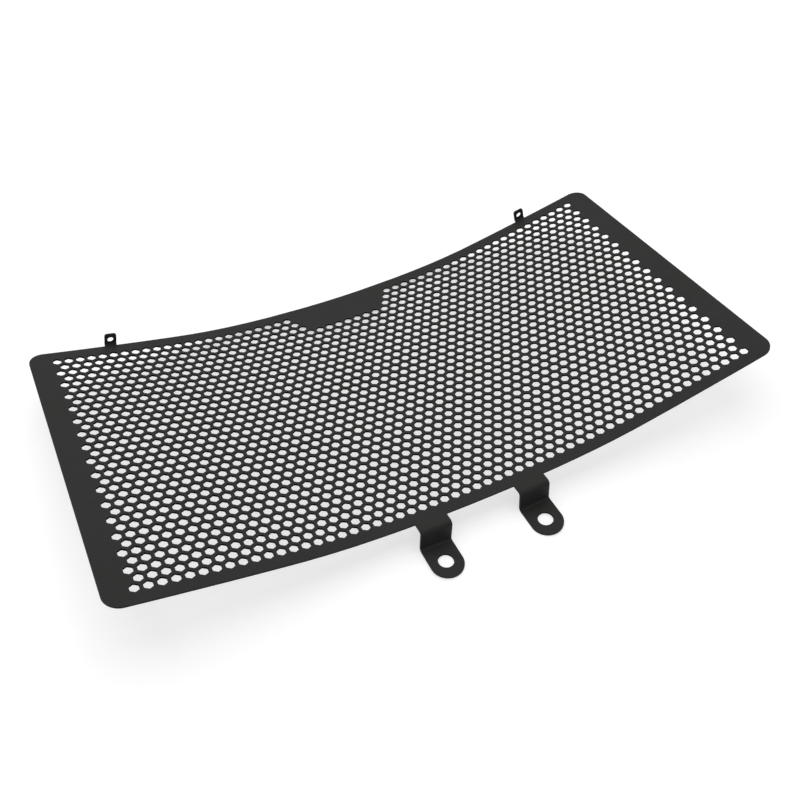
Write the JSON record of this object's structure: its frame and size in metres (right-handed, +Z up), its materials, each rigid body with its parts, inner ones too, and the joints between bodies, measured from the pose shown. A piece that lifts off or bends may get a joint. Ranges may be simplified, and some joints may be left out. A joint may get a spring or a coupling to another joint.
{
  "type": "motorcycle radiator guard",
  "caption": "Gently rolled perforated metal guard for a motorcycle radiator, with stepped bolt feet on one long edge and small drilled tabs on the other.",
  "frame": {"origin": "midway between the two foot holes, on the plane the guard rests on when it lies on its back", "axes": "+X along the roll, +Y from the feet across the sheet to the edge with the small tabs, +Z up, which is the hollow front side of the roll"},
  "size_m": [0.413, 0.248, 0.044],
  "materials": {
    "powder_coat": "satin"
  },
  "bodies": {
    "root": {"radiator_guard": "powder_coat"}
  },
  "joints": []
}
